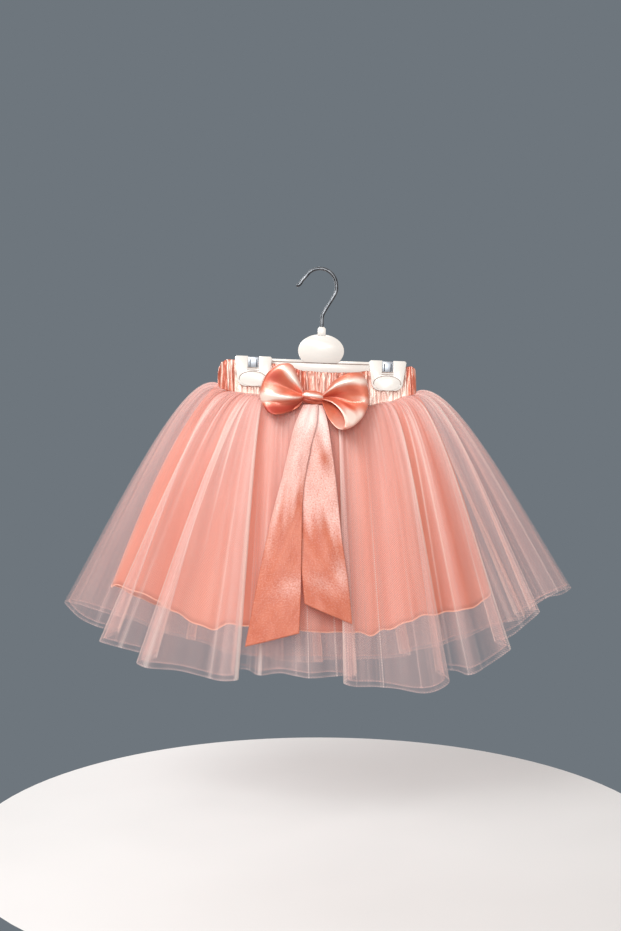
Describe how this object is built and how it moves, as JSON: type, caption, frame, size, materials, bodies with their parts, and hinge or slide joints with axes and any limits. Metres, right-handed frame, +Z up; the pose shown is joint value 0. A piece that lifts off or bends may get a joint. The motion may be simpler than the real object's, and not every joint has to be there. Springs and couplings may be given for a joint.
{
  "type": "tulle skirt on a clip hanger",
  "caption": "Child's gathered tulle skirt with satin waistband, lining and bow, hung flat from a white clip hanger with a steel hook",
  "frame": {"origin": "inside top of the hook, where the hanger rests on a rail or peg", "axes": "+Z up, +X to the right when facing the bow, +Y away from the viewer, towards the wall behind"},
  "size_m": [0.5358, 0.1538, 0.4281],
  "materials": {
    "hook_steel": "polished wire",
    "hanger_plastic": "glossy white",
    "clip_plastic": "glossy white",
    "spring_steel": "plain leaf",
    "waistband_satin": "gathered coral satin",
    "ribbon_satin": "glossy coral satin ribbon",
    "lining_satin": "soft coral satin",
    "tulle_net": "fine peach net, see-through"
  },
  "bodies": {
    "root": {"hanger_hook": "hook_steel", "hanger_bar": "hanger_plastic", "clip_left_front": "clip_plastic", "clip_left_back": "clip_plastic", "clip_left_spring": "spring_steel", "clip_right_front": "clip_plastic", "clip_right_back": "clip_plastic", "clip_right_spring": "spring_steel", "waistband": "waistband_satin", "lining": "lining_satin", "tulle_under": "tulle_net", "tulle_outer": "tulle_net", "bow_loop_left": "ribbon_satin", "bow_loop_right": "ribbon_satin", "bow_knot": "ribbon_satin", "bow_tail_left": "ribbon_satin", "bow_tail_right": "ribbon_satin"}
  },
  "joints": []
}
